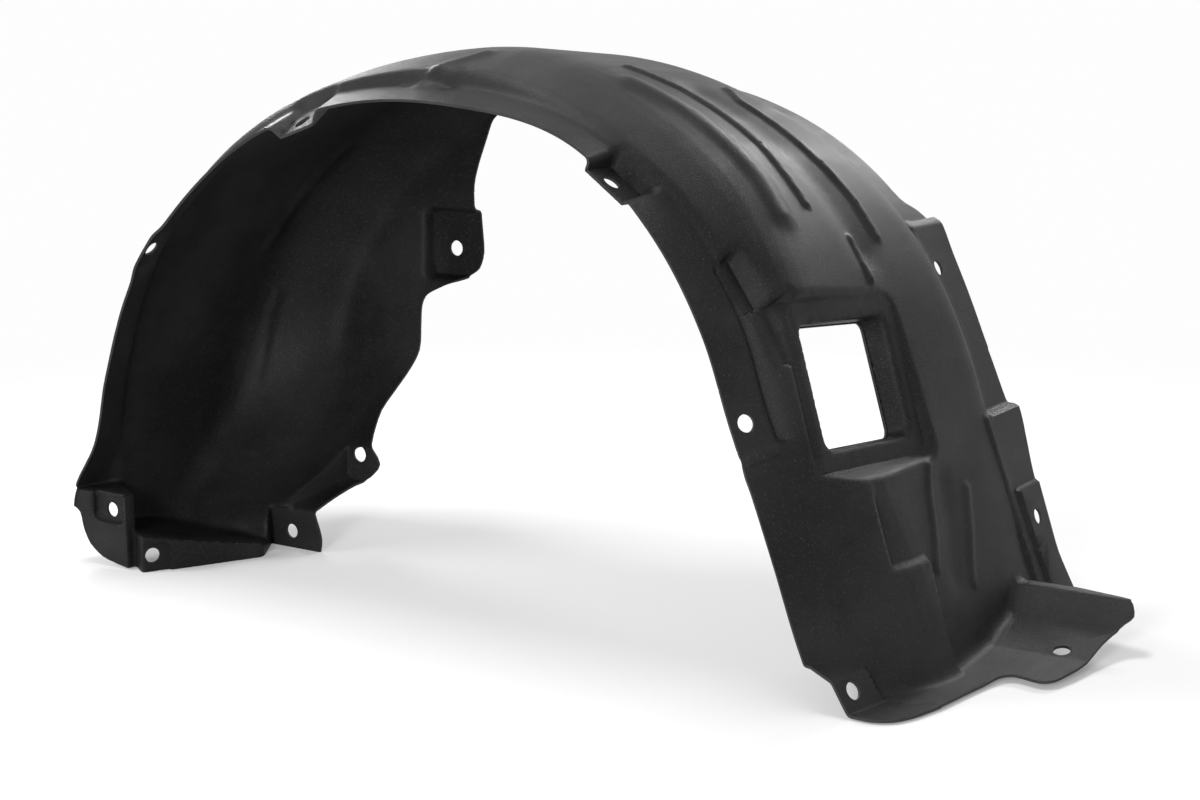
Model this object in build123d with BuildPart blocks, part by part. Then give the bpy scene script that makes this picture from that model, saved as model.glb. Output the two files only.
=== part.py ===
from build123d import *
import math
import os

os.makedirs("parts", exist_ok=True)

# Wheel arch liner, one formed plastic sheet. Millimetres.
# Working frame: origin on the wheel axis in the plane of the near rim, X across the arch
# towards the leg that ends in the shelf, Y away from the near rim into the car, Z up.
# The sheet is made as the real one is: a form is lofted round the wheel axis and gets its
# pads and ledges as blocks, the same form is grown by the sheet thickness, and the liner is
# the skin between the two, trimmed to its outline and pierced for the clips.
# Profiles, outlines and places are drawn for a rim radius of 350 mm and follow the one in use.

WALL = 2.4                 # sheet thickness
RIM_R = 350.0              # radius of the near rim edge at the crown
BARREL_RISE = 40.0         # how far the outer barrel stands above the near rim at the crown
STRIP_W = 34.0             # width of the sloping strip behind the near rim
STEP_W = 9.0               # run of the step from the strip up to the barrel
HOLE_D = 14.5              # clip hole
WIDE_D = 16.0              # wider clip hole in the side wall
PAD_DEEP = 9.0             # how far a clip pad is set out of the sheet round it
PAD_R = 9.0                # corner radius of the clip pads
DRAFT = 14.0               # slope of the pad walls, degrees

S = RIM_R / 350            # size against the drawn one
BARREL_R = RIM_R + BARREL_RISE * S
FLOOR_Z = -110 * S         # height of both feet, measured from the wheel axis

# One row for each station round the wheel axis: angle, near edge and strip end (from RIM_R),
# then step top, barrel, shoulder, flange and flange end (from BARREL_R). The barrel and the
# last three also give their depth.
STATIONS = [
    (-19, 92, 114, 80, 122, 110, 126, 292, 125, 306, 125, 440),
    (-8, 38, 57, 22, 60, 110, 62, 305, 60, 320, 60, 440),
    (0, 15, 33, -2, 33, 110, 36, 318, 32, 333, 31, 440),
    (8, 0, 17, -18, 15, 96, 18, 326, 10, 341, 9, 440),
    (18, -9, 6, -28, 6, 60, 11, 328, 1, 342, 0, 440),
    (30, -4, 10, -23, 6, 76, 10, 320, 0, 335, -1, 430),
    (45, 5, 14, -18, 5, 106, 8, 305, -2, 320, -6, 410),
    (60, 12, 18, -16, 4, 110, -1, 290, -8, 305, -16, 380),
    (80, -2, 10, -17, 2, 110, -8, 282, -17, 300, -40, 352),
    (98, -5, 7, -21, -6, 110, -14, 276, -32, 304, -108, 338),
    (116, -2, 9, -20, -5, 110, -6, 270, -46, 312, -198, 322),
    (134, 0, 12, -16, -1, 110, 0, 264, -48, 312, -200, 318),
    (152, 8, 17, -15, 0, 110, 3, 252, -52, 306, -204, 308),
    (168, 13, 21, -13, 0, 110, 2, 230, -68, 288, -214, 288),
    (179, 26, 30, -8, -1, 104, 0, 200, -90, 250, -220, 246),
    (187, 63, 52, 2, 2, 90, 0, 150, -84, 204, -224, 208),
    (195, 64, 56, 6, 4, 66, -4, 98, -78, 140, -220, 143),
    (203, 70, 58, 8, 6, 62, -2, 84, -70, 131, -212, 137),
]

# Window: a flat frame that stands proud of the barrel at its top and is sunk in the leg at its
# foot, the deep pocket in it, and the cut through the pocket floor, which leaves the pocket
# walls standing as a return round the opening.
WINDOW_A = 18.8            # angle of its middle
WINDOW_Y = 141.0           # depth of its middle
WINDOW_TURN = 4.9          # how far it is turned in its own plane, degrees
WINDOW_TILT = 6.6          # how far its plane drops towards the near rim, degrees
FRAME_IN = 8.3             # how far the flat's middle lies inside BARREL_R
FRAME_W, FRAME_H = 151.0, 139.0
FRAME_RUN = 37.0           # how much further the sunk flat runs towards the near rim
FRAME_WALL = 36.9          # slope of the walls round the flat, degrees
POCKET_W, POCKET_H = 124.0, 106.0
POCKET_DEEP = 21.0         # pocket floor under the flat's far edge
LIP = 1.0                  # lip left of the pocket floor

# Lower part of the leg on the minus X side: ledge and upright strip under the barrel.
STRIP_AT = (-316.0, 0.0)   # foot of the strip at the near rim, in plan
STRIP_TO = (-238.0, 158.0)  # foot of the strip at the far corner
LEDGE_UP = 36.0            # ledge height over the floor at the near rim
LEDGE_FALL = 0.19          # fall of the ledge for each millimetre along the strip
BOSS_UP = 73.0             # top of the flange with the lower near clip, over the floor

# Leg on the plus X side: its flare, the raised lower flange, and the shelf at its foot.
FLARE = 0.371              # run outwards for each millimetre down
FLANGE_STEP_Z = 66.0       # height at which the flange steps out
SHELF_EDGE = [(464, -10), (465, 2), (474, 24), (482, 57), (488, 100), (495, 144), (504, 152),
              (528, 146), (537, 154), (544, 188), (547, 238), (552, 262), (562, 272), (554, 284),
              (478, 291), (478, 420), (640, 420), (640, -30), (464, -30)]


def sized(points, grow=0.0):
    """Drawn points at the size in use; those with two more numbers move out by that much grow."""
    return [(p[0] * S + (p[2] * grow if p[2:] else 0), p[1] * S + (p[3] * grow if p[3:] else 0))
            for p in points]


def station_plane(angle):
    """Half-plane of the wheel axis at an angle: local x is the radius, local y the depth."""
    a = math.radians(angle)
    return Plane(origin=(0, 0, 0), x_dir=(math.cos(a), 0, math.sin(a)),
                 z_dir=(-math.sin(a), 0, math.cos(a)))


def radial_plane(angle, radius, y):
    """Plane facing out along the radius: local x is Y, local y runs round the arch, up from plus X."""
    a = math.radians(angle)
    out = (math.cos(a), 0, math.sin(a))
    return Plane(origin=(radius * out[0], y, radius * out[2]), x_dir=(0, 1, 0), z_dir=out)


def window_plane(lift=0.0, along=0.0, tilt=WINDOW_TILT):
    """Plane of the window's flat, moved out and along its own width; local x points away from the rim."""
    a, turn, tip = math.radians(WINDOW_A), math.radians(WINDOW_TURN), math.radians(tilt)
    out, up = Vector(math.cos(a), 0, math.sin(a)), Vector(-math.sin(a), 0, math.cos(a))
    across = Vector(0, 1, 0) * math.cos(turn) - up * math.sin(turn)
    x_dir = across * math.cos(tip) + out * math.sin(tip)
    origin = out * (BARREL_R - FRAME_IN * S) + Vector(0, WINDOW_Y * S, 0) + out * lift + x_dir * along
    return Plane(origin=origin, x_dir=x_dir, z_dir=out * math.cos(tip) - across * math.sin(tip))


def outward_strip():
    """Direction square to the upright strip of the minus X leg, away from the wheel."""
    along = Vector(STRIP_TO[0] - STRIP_AT[0], STRIP_TO[1] - STRIP_AT[1], 0).normalized()
    return Vector(-along.Y, along.X, 0)


def corner(p, q, s, grow):
    """Fold point q between p and s, moved out by grow square to both runs."""
    n1 = (Vector(*q) - Vector(*p)).normalized()
    n2 = (Vector(*s) - Vector(*q)).normalized()
    m1, m2 = Vector(n1.Y, -n1.X), Vector(n2.Y, -n2.X)
    m = (m1 + m2).normalized()
    d = grow / max(m.dot(m1), 0.3)
    return (q[0] + m.X * d, q[1] + m.Y * d)


def section(row, grow):
    """Closed cross-section of the form at one station, its skin side moved out by grow."""
    near, strip, step, barrel, crown_y, sh, sh_y, fl, fl_y, end, end_y = (v * S for v in row[1:])
    lead = (strip - near) / STRIP_W * 12
    skin = [(RIM_R + near - lead, -12), (RIM_R + near, 0), (RIM_R + strip, STRIP_W),
            (BARREL_R + step, STRIP_W + STEP_W), (BARREL_R + barrel, crown_y),
            (BARREL_R + sh, sh_y), (BARREL_R + fl, fl_y), (BARREL_R + end, end_y)]
    run = Vector(skin[-1][0] - skin[-2][0], skin[-1][1] - skin[-2][1]).normalized()
    side = Vector(run.Y, -run.X)
    out = [corner(skin[i - 1], skin[i], skin[i + 1], grow) for i in range(1, len(skin) - 1)]
    first, last = Vector(*skin[0]), Vector(*skin[-1])
    core = 0.0 if grow > 0 else 30.0
    if grow > 0:
        first, last = first + Vector(grow, 0), last + side * grow
    else:
        first, last = first + Vector(-lead * 0.7, -8), last + run * 12
    back = Vector(*skin[-1]) - side * (60 + core) + run * (0 if grow > 0 else 12)
    return [(first.X, first.Y)] + out + [(last.X, last.Y), (back.X, back.Y), (150 - core, first.Y)]


def pad(plane, width, height, deep, grow, back=30.0):
    """Clip pad: a drafted block whose face lies deep along the plane's normal."""
    spread = grow + (deep + grow + back) * math.tan(math.radians(DRAFT))
    with BuildPart() as block:
        with BuildSketch(plane.offset(-back)):
            RectangleRounded(width + 2 * spread, height + 2 * spread, PAD_R + spread)
        extrude(amount=deep + grow + back, taper=DRAFT)
    return block.part


def hollow(plane, width, height, corner_r, slope, grow):
    """Cut whose floor lies in the plane and whose walls lean out by slope, 40 mm deep."""
    lean = math.tan(math.radians(slope)) - 1 / math.cos(math.radians(slope))
    with BuildPart() as block:
        with BuildSketch(plane.offset(grow)):
            RectangleRounded(width + 2 * lean * grow, height + 2 * lean * grow, corner_r)
        extrude(amount=40, taper=-slope)
    return block.part


def raised(plane, width, height, corner_r, slope, grow, back=22.0):
    """Block whose top lies in the plane and whose walls lean out by slope going down."""
    lean = 1 / math.cos(math.radians(slope)) - math.tan(math.radians(slope))
    spread = lean * grow + (back + grow) * math.tan(math.radians(slope))
    with BuildPart() as block:
        with BuildSketch(plane.offset(-back)):
            RectangleRounded(width + 2 * spread, height + 2 * spread, corner_r + spread)
        extrude(amount=back + grow, taper=slope)
    return block.part


def form(grow):
    """The whole form: lofted barrel, then the blocks for ledges, pads and the window."""
    with BuildPart() as block:
        for row in STATIONS:
            with BuildSketch(station_plane(row[0])):
                with BuildLine():
                    Polyline(*section(row, grow), close=True)
                make_face()
        loft()
        # recessed far part of the plus X leg, behind a stepped line
        low, far, top = (Vector(439 * S, 140 * S, -60 * S), Vector(444.9 * S, 300 * S, -60 * S),
                         Vector(399.6 * S, 97 * S, 62 * S))
        facing = (far - low).cross(top - low).normalized()
        with BuildSketch(Plane(origin=low + facing * grow, x_dir=far - low, z_dir=facing)):
            with BuildLine():
                Polyline(*sized([(-42, 128), (-42, 46), (4, 45, 1, -1), (7, 25, 1, -1), (-3, -10, 1, 0),
                                 (-9, -50, 1, 0), (164, -50), (164, 128)], grow), close=True)
            make_face()
        extrude(amount=30 * S, mode=Mode.SUBTRACT)
        # shelf at the foot of the plus X leg, its back edge raised in a crest
        with BuildSketch(Plane.YZ.offset(410 * S)):
            with BuildLine():
                Polyline(*sized([(-40, -108, 0, 1), (120, -107, 0, 1), (205, -102, 0, 1), (264, -86, 0, 1),
                                 (291, -66, 0, 1), (291, -190), (-40, -190)], grow), close=True)
            make_face()
        extrude(amount=200 * S)
        # foot pad beside the shelf, facing out
        with BuildSketch(Plane.XZ.offset(40 * S)):
            with BuildLine():
                Polyline(*sized([(380, -75, 0, 1), (399, -76, 0, 1), (416, -84, 1, 1), (433, -112, 1, 0),
                                 (433, -170, 1, 0), (380, -170)], grow), close=True)
            make_face()
        extrude(amount=-76 * S - grow)
        # raised lower part of the flange on the plus X leg
        with BuildSketch(Plane.XZ.offset(-322 * S + grow)):
            with BuildLine():
                Polyline((390 * S, FLANGE_STEP_Z * S + grow), (402 * S + grow, FLANGE_STEP_Z * S + grow),
                         ((402 + FLARE * 220) * S + grow, (FLANGE_STEP_Z - 220) * S),
                         (410 * S, -154 * S), close=True)
            make_face()
        extrude(amount=-140 * S)
        # raised tab of the upper flange clip, running out flush further down
        with BuildSketch(Plane.XZ.offset(-323 * S + grow)):
            with BuildLine():
                Polyline(*sized([(312, 218, 0, 1), (318, 234, 1, 1), (325, 230, 1, 1), (367, 128, 1, 0),
                                 (350, 116)], grow), close=True)
            make_face()
        extrude(amount=-140 * S)
        # ledge and upright strip under the barrel on the minus X leg
        along = Vector(STRIP_TO[0] - STRIP_AT[0], STRIP_TO[1] - STRIP_AT[1], 0).normalized()
        foot = Vector(STRIP_AT[0], STRIP_AT[1], 0) * S + outward_strip() * grow
        ledge = FLOOR_Z + LEDGE_UP - grow
        with BuildSketch(Plane(origin=foot, x_dir=along, z_dir=(along.Y, -along.X, 0))):
            with BuildLine():
                Polyline((grow, ledge), (260 * S, ledge - 260 * S * LEDGE_FALL), (260 * S, -260 * S),
                         (grow, -260 * S), close=True)
            make_face()
        extrude(amount=-220 * S, mode=Mode.SUBTRACT)
        with BuildSketch(Plane.XY.offset(FLOOR_Z + BOSS_UP - grow)):
            with BuildLine():
                Polyline(*sized([(-338, 0, -1, 1), (-338, 12, -1, -1), (-396, 50), (-480, 50),
                                 (-480, 0, 0, 1)], grow), close=True)
            make_face()
        extrude(amount=-160 * S, mode=Mode.SUBTRACT)
        # clip pads on the side wall of the minus X leg, all facing the near rim
        for x, y, z, w, h in ((-176, 318, 186, 70, 66), (-222, 216, -26, 56, 50), (-250, 143, -98, 58, 56)):
            add(pad(Plane(origin=(x * S, y * S, z * S), x_dir=(1, 0, 0), z_dir=(0, 1, 0)),
                    w * S, h * S, PAD_DEEP, grow))
        # seats of two clips, set into the near strip
        add(hollow(radial_plane(53.5, 352 * S, 8 * S), 56 * S, 44 * S, 8, DRAFT, grow), mode=Mode.SUBTRACT)
        add(hollow(radial_plane(108.8, 345 * S, 8 * S), 48 * S, 38 * S, 8, DRAFT, grow), mode=Mode.SUBTRACT)
        # notch at the upper corner of the window, next to the near strip
        add(hollow(radial_plane(28, 368 * S, 52 * S), 26 * S, 40 * S, 8, 24, grow), mode=Mode.SUBTRACT)
        # flat frame of the window, sunk and proud, then the deep pocket in it
        run = FRAME_RUN * S
        add(hollow(window_plane(0, -run / 2), FRAME_W * S + run, FRAME_H * S, 12, FRAME_WALL, grow),
            mode=Mode.SUBTRACT)
        add(raised(window_plane(), FRAME_W * S, FRAME_H * S, 12, FRAME_WALL, grow))
        add(hollow(window_plane(-(POCKET_DEEP - 7.5) * S, 0, 0), POCKET_W * S, POCKET_H * S, 12, 0, grow),
            mode=Mode.SUBTRACT)
    return block.part


def hole(at, facing, diameter=HOLE_D):
    """Clip hole: a short drill along the way its pad faces."""
    with BuildPart() as drill:
        with BuildSketch(Plane(origin=at, z_dir=facing)):
            Circle(diameter / 2)
        extrude(amount=16, both=True)
    return drill.part


def rim_hole(angle, y, radius, diameter=HOLE_D):
    """Clip hole drilled along the radius."""
    a = math.radians(angle)
    out = (math.cos(a), 0, math.sin(a))
    return hole((radius * out[0], y, radius * out[2]), out, diameter)


with BuildPart() as sheet:
    add(form(WALL))
    add(form(0), mode=Mode.SUBTRACT)
    # near rim: one flat plane, and both feet on one level
    with Locations((0, -50 * S, 0)):
        Box(1400 * S, 100 * S, 1400 * S, mode=Mode.SUBTRACT)
    with Locations((0, 200 * S, FLOOR_Z - 100 * S)):
        Box(1400 * S, 700 * S, 200 * S, mode=Mode.SUBTRACT)
    # near lower corner of the minus X leg, rounded off
    with BuildSketch(Plane.XZ):
        with BuildLine():
            Polyline(*sized([(-460, -54), (-412, -54), (-401, -60), (-398, -76), (-390, -91), (-373, -102),
                             (-353, -106), (-318, -111), (-318, -140), (-460, -140)]), close=True)
        make_face()
    extrude(amount=-60 * S, mode=Mode.SUBTRACT)
    # far edge of the side wall on the minus X leg, cut square to the near rim
    with BuildSketch(Plane.XZ.offset(-520 * S)):
        with BuildLine():
            Polyline(*sized([(-40, 352), (-86, 338), (-126, 315), (-146, 270), (-153, 248), (-153, 222),
                             (-149, 178), (-155, 161), (-168, 153), (-193, 142), (-212, 133), (-217, 122),
                             (-214, 75), (-229, 39), (-236, 17), (-228, -4), (-206, -32), (-222, -48),
                             (-234, -53), (-236, -61), (-234, -70), (-224, -97), (-228, -114), (-222, -200),
                             (60, -200), (60, 352)]), close=True)
        make_face()
    extrude(amount=420 * S, mode=Mode.SUBTRACT)
    # far edge of the flange on the plus X leg, cut along X
    with BuildSketch(Plane.YZ.offset(-30 * S)):
        with BuildLine():
            Polyline(*sized([(395, -120), (378, -60), (384, 10), (398, 60), (389, 120), (388, 228), (378, 240),
                             (358, 250), (352, 330), (350, 460), (540, 460), (540, -180), (395, -180)]),
                     close=True)
        make_face()
    extrude(amount=620 * S, mode=Mode.SUBTRACT)
    # plan outline of the shelf
    with BuildSketch(Plane.XY.offset(-130 * S)):
        with BuildLine():
            Polyline(*sized(SHELF_EDGE), close=True)
        make_face()
    extrude(amount=67 * S, mode=Mode.SUBTRACT)
    # through cut of the window
    with BuildSketch(window_plane(-(POCKET_DEEP + 18) * S, 0, 0)):
        RectangleRounded(POCKET_W * S - 2 * (WALL + LIP), POCKET_H * S - 2 * (WALL + LIP), 8)
    extrude(amount=38, mode=Mode.SUBTRACT)
    # clip holes: near rim, far flange, foot and shelf, then side wall and lower flange
    for angle, y, radius in ((146, 12, 352), (108.8, 14, 346), (54, 14, 354), (17.8, 14, 347),
                             (29.5, 346, 397)):
        add(rim_hole(angle, y * S, radius * S), mode=Mode.SUBTRACT)
    strip_out = (outward_strip().X, outward_strip().Y, 0)
    for at, facing, diameter in (((434, 358, -27), (1, 0, FLARE), HOLE_D),
                                 ((424, 17, -94), (0.87, 0, 0.5), HOLE_D),
                                 ((520, 215, -100), (0, 0, 1), HOLE_D), ((-362, 0, -54), (0, 1, 0), HOLE_D),
                                 ((-311, 9, -94), strip_out, HOLE_D), ((-263, 152, -93), (0, 1, 0), HOLE_D),
                                 ((-234, 225, -24), (0, 1, 0), WIDE_D),
                                 ((-184, 326, 181), (0, 1, 0), WIDE_D)):
        add(hole((at[0] * S, at[1] * S, at[2] * S), facing, diameter), mode=Mode.SUBTRACT)

# at rest the liner stands on both feet, with the origin on the floor under its middle
box = sheet.part.bounding_box()
REST = Location((-(box.min.X + box.max.X) / 2, -(box.min.Y + box.max.Y) / 2, -box.min.Z))
with BuildPart() as liner:
    add(sheet.part.moved(REST))

liner.part.label = "wheel_arch_liner"
export_step(liner.part, "parts/wheel_arch_liner.step")
print("volume", round(liner.part.volume), "solids", len(liner.part.solids()), "at rest", REST.position)
for solid in liner.part.solids():
    print(round(solid.volume), solid.bounding_box())
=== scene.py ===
# %% [markdown]
# # A wheel arch liner
#
# The object is one sheet of black plastic, about 2.4 mm thick, that lines the space over a car's
# front wheel. It is heated and pressed over a form, then trimmed and pierced for its clips. The
# making here goes the same way: a form, the skin over it, the trimmed outline, the thickness,
# and at last the grain that the mould leaves in the plastic.

# %% Load the frame
import math

import bmesh
import bpy
import numpy as np
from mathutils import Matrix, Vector


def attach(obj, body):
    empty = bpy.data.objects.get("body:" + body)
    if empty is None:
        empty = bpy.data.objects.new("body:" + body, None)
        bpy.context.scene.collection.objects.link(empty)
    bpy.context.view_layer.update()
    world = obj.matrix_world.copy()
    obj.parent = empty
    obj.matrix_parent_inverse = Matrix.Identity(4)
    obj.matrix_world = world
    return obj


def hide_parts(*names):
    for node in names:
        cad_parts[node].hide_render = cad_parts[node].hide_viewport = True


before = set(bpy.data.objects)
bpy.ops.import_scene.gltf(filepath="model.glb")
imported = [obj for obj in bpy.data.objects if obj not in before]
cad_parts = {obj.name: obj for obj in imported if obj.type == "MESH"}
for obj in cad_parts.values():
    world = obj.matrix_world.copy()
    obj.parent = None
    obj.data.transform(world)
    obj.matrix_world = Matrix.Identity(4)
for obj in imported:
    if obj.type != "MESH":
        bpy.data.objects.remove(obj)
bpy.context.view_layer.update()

NODE = "wheel_arch_liner"

# %% [markdown]
# ## Where things are
#
# All shapes below are written in millimetres from the wheel's axis, in the plane of the near rim:
# x across the arch, y into the car, z up. That is how such a liner is drawn, because the wheel is
# what it has to clear. One function moves a point to the frame's own origin, on the ground under
# the middle, and to metres.

# %% From the wheel's axis to the frame
WHEEL_AXIS = np.array([-74.0367, -199.0, 110.0])


def to_frame(points):
    return (np.asarray(points, float) + WHEEL_AXIS) / 1000.0


print("wheel axis in the frame:", to_frame([0, 0, 0]))

# %% [markdown]
# ## The camera
#
# The photograph looks down a little on the liner from its right-hand side. The near rim is a flat
# curve and both feet touch the ground, and that settles where the camera stood and how long its
# lens was.

# %% Camera
VIEW_TURN, VIEW_TILT = math.radians(33.13), math.radians(10.76)
CAMERA_AT = [1063.8, -1313.7, 412.2]
SENSOR_W = 36.0
FOCAL_PIXELS, PHOTO_W = 1999.0, 1200.0
looking = Vector((-math.sin(VIEW_TURN) * math.cos(VIEW_TILT),
                  math.cos(VIEW_TURN) * math.cos(VIEW_TILT), -math.sin(VIEW_TILT)))
lens = bpy.data.cameras.new("camera")
lens.sensor_fit = "HORIZONTAL"
lens.sensor_width = SENSOR_W
lens.lens = SENSOR_W * FOCAL_PIXELS / PHOTO_W
lens.clip_end = 50.0
camera = bpy.data.objects.new("camera", lens)
bpy.context.scene.collection.objects.link(camera)
camera.rotation_euler = looking.to_track_quat("-Z", "Y").to_euler()
camera.location = to_frame(CAMERA_AT)
bpy.context.scene.camera = camera
print("camera at", tuple(round(v, 3) for v in camera.location), "lens", round(lens.lens, 2))

# %% [markdown]
# ## The form's sections
#
# Cut by half-planes that all pass through the wheel's axis, the liner shows one profile that
# changes slowly round the arch: the near edge, a sloping strip, a step up to the barrel, the
# barrel's crown, the shoulder, and the flange or side wall beyond. Eighteen such profiles, with
# smooth curves between them, say the whole barrel.

# %% Profiles round the wheel axis
RIM_R, BARREL_R, STRIP_W, STEP_W = 350.0, 390.0, 34.0, 9.0
WALL = 2.4
LEAD_IN = 12  # each profile starts this far in front of the near edge, and is trimmed back to it
# angle, near edge and strip end (from RIM_R), then step top, crown, shoulder, flange and its end
# (from BARREL_R), the last four with their depth
STATIONS = np.array([
    (-19, 92, 114, 80, 122, 110, 126, 292, 125, 306, 125, 440),
    (-8, 38, 57, 22, 60, 110, 62, 305, 60, 320, 60, 440),
    (0, 15, 33, -2, 33, 110, 36, 318, 32, 333, 31, 440),
    (8, 0, 17, -18, 15, 96, 18, 326, 10, 341, 9, 440),
    (18, -9, 5, -28, 0, 74, 11, 328, 1, 342, 0, 440),
    (30, -4, 10, -23, 2, 78, 10, 320, 0, 335, -1, 430),
    (45, 5, 14, -18, 5, 106, 8, 305, -2, 320, -6, 410),
    (60, 12, 18, -16, 4, 110, -1, 290, -8, 305, -16, 380),
    (80, -2, 10, -17, 2, 110, -8, 282, -17, 300, -40, 352),
    (98, -5, 7, -21, -6, 110, -14, 276, -32, 304, -108, 338),
    (116, -2, 9, -20, -5, 110, -6, 270, -46, 312, -198, 322),
    (134, 0, 12, -16, -1, 110, 0, 264, -48, 312, -200, 318),
    (152, 8, 17, -15, 0, 110, 3, 252, -52, 306, -204, 308),
    (168, 13, 21, -13, 0, 110, 2, 230, -68, 288, -214, 288),
    (179, 26, 30, -8, -1, 104, 0, 200, -90, 250, -220, 246),
    (187, 63, 52, 2, 2, 90, 0, 150, -84, 204, -224, 208),
    (195, 64, 56, 6, 4, 66, -4, 98, -78, 140, -220, 143),
    (203, 70, 58, 8, 6, 62, -2, 84, -70, 131, -212, 137),
], float)


def smooth_rows(rows, step):
    """Rows at even angles, on smooth curves through the given ones."""
    x, v = rows[:, 0], rows[:, 1:]
    slope = np.gradient(v, x, axis=0)
    at = np.arange(x[0], x[-1] + step / 2, step)
    i = np.clip(np.searchsorted(x, at, side="right") - 1, 0, len(x) - 2)
    d = (x[i + 1] - x[i])[:, None]
    t = ((at - x[i])[:, None]) / d
    out = ((2 * t**3 - 3 * t**2 + 1) * v[i] + (t**3 - 2 * t**2 + t) * d * slope[i]
           + (3 * t**2 - 2 * t**3) * v[i + 1] + (t**3 - t**2) * d * slope[i + 1])
    return at, out


ANGLE_STEP = 0.5
angles, rows = smooth_rows(STATIONS, ANGLE_STEP)
print(len(STATIONS), "profiles given,", len(angles), "after smoothing")

# %% Soft folds in each profile
# for each fold point: how far back along both runs its curve starts, and in how many points
FOLDS = {2: (4.0, 3), 3: (6.0, 3), 4: (30.0, 5), 5: (22.0, 5), 6: (12.0, 4)}


def profile_points(row):
    """One profile as points (radius, depth), each fold turned into a short curve."""
    near, strip, step, crown, crown_y, sh, sh_y, fl, fl_y, end, end_y = row
    lead = (strip - near) / STRIP_W * LEAD_IN
    p = np.array([(RIM_R + near - lead, -LEAD_IN), (RIM_R + near, 0), (RIM_R + strip, STRIP_W),
                  (BARREL_R + step, STRIP_W + STEP_W), (BARREL_R + crown, crown_y),
                  (BARREL_R + sh, sh_y), (BARREL_R + fl, fl_y), (BARREL_R + end, end_y)])
    out = [p[0], p[1]]
    for k, (cut, n) in FOLDS.items():
        a, b = p[k - 1] - p[k], p[k + 1] - p[k]
        la, lb = np.linalg.norm(a), np.linalg.norm(b)
        ca, cb = min(cut, la * 0.4), min(cut, lb * 0.4, la)
        t = np.linspace(0, 1, n)[:, None]
        out += list((1 - t)**2 * (p[k] + a / la * ca) + 2 * t * (1 - t) * p[k]
                    + t**2 * (p[k] + b / lb * cb))
    return np.array(out + [p[7]])


PROFILES = np.array([profile_points(r) for r in rows])
print("profile table:", PROFILES.shape)

# %% [markdown]
# ## The form as a distance
#
# A pressed sheet has no sharp inner corners: each pad, ledge and fold runs into the next with a
# radius. Meshes joined by booleans would give knife-sharp seams. A signed distance does better:
# each shape is a function that is negative inside and positive outside, and where two meet, a
# soft minimum or maximum leaves a fillet by itself.

# %% Soft union and cut
def soft_min(a, b, fillet):
    """Union of two shapes, with a fillet where they meet."""
    h = np.clip(0.5 + 0.5 * (b - a) / fillet, 0, 1)
    return b + (a - b) * h - fillet * h * (1 - h)


def soft_max(a, b, fillet):
    """What two shapes share; with -b in place of b, the first with the second cut away."""
    return -soft_min(-a, -b, fillet)


def rounded_rect(u, v, half_u, half_v, r):
    """Distance to a rectangle with rounded corners."""
    qu, qv = np.abs(u) - half_u + r, np.abs(v) - half_v + r
    return np.hypot(np.maximum(qu, 0), np.maximum(qv, 0)) + np.minimum(np.maximum(qu, qv), 0) - r


print("fillet between two faces at right angles:", round(float(-soft_min(0.0, 0.0, 6.0)), 2), "mm")

# %% Relief pressed into the barrel
# each rib: its course as (angle, depth) points, its height and its half-width
RIBS = [
    ([(71, 164), (63.5, 179), (56.8, 181), (50.8, 180), (46.3, 174), (41.2, 169)], 3.2, 4.0),
    ([(63.8, 260), (60.3, 246), (53.7, 247), (47.6, 247), (41.2, 250), (35, 249)], 3.0, 4.0),
    ([(66, 120), (58, 131), (51, 133), (45.5, 131), (40.5, 122)], 4.5, 12.0),
    ([(35.7, 209), (30.0, 202)], 3.2, 4.0),
    ([(64, 214), (34, 216)], -4.0, 20.0),
    # groove between the near strip and the barrel, and the rib that ends it
    ([(51, 40), (40, 40), (37, 39.5)], -2.6, 3.5),
    ([(37, 39.5), (27, 40), (14.5, 40)], -5.5, 4.5),
    ([(13.2, 5), (13.4, 20), (13.8, 40)], 4.4, 4.0),
    ([(11.0, 8), (11.2, 36)], -2.0, 7.0),
    # two upright ribs on the plus X leg, with a shallow valley between
    ([(9.7, 199), (4.7, 189), (0, 175), (-3.8, 160)], 2.6, 4.5),
    ([(2.6, 250), (-2.7, 232), (-6.6, 216)], 2.4, 4.5),
    ([(4, 216), (-2, 202), (-5, 190)], -2.6, 14.0),
    # inside the minus X leg: a long bead and a soft streak above it
    ([(160, 249), (165.4, 242), (170.9, 234), (177, 219), (184.4, 190)], -2.4, 4.5),
    ([(152, 222), (141.9, 238), (133, 250)], -2.2, 9.0),
    # diagonal fold, dimple and groove near the top of the near strip
    ([(88.5, 30), (87, 50), (84.9, 86)], 2.6, 7.0),
    ([(84.2, 34), (84.0, 38)], -3.5, 8.0),
    ([(107, 40), (100, 38), (93, 35)], -2.2, 4.0),
    # raised seat of the clip hole on the minus X side of the near rim
    ([(143.4, 6), (148.6, 6)], 4.5, 15.0),
]


def relief(theta, y):
    """Height of the ribs and grooves at an angle and depth."""
    out = np.zeros(np.shape(y))
    for course, height, width in RIBS:
        best = np.full(np.shape(y), 1e9)
        for (a0, y0), (a1, y1) in zip(course[:-1], course[1:]):
            ax, ay = math.radians(a1 - a0) * BARREL_R, y1 - y0
            px, py = np.radians(theta - a0) * BARREL_R, y - y0
            t = np.clip((px * ax + py * ay) / (ax * ax + ay * ay), 0, 1)
            best = np.minimum(best, np.hypot(px - t * ax, py - t * ay))
        out += height * np.exp(-(best / width) ** 2)
    return out


print(len(RIBS), "ribs")

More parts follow.
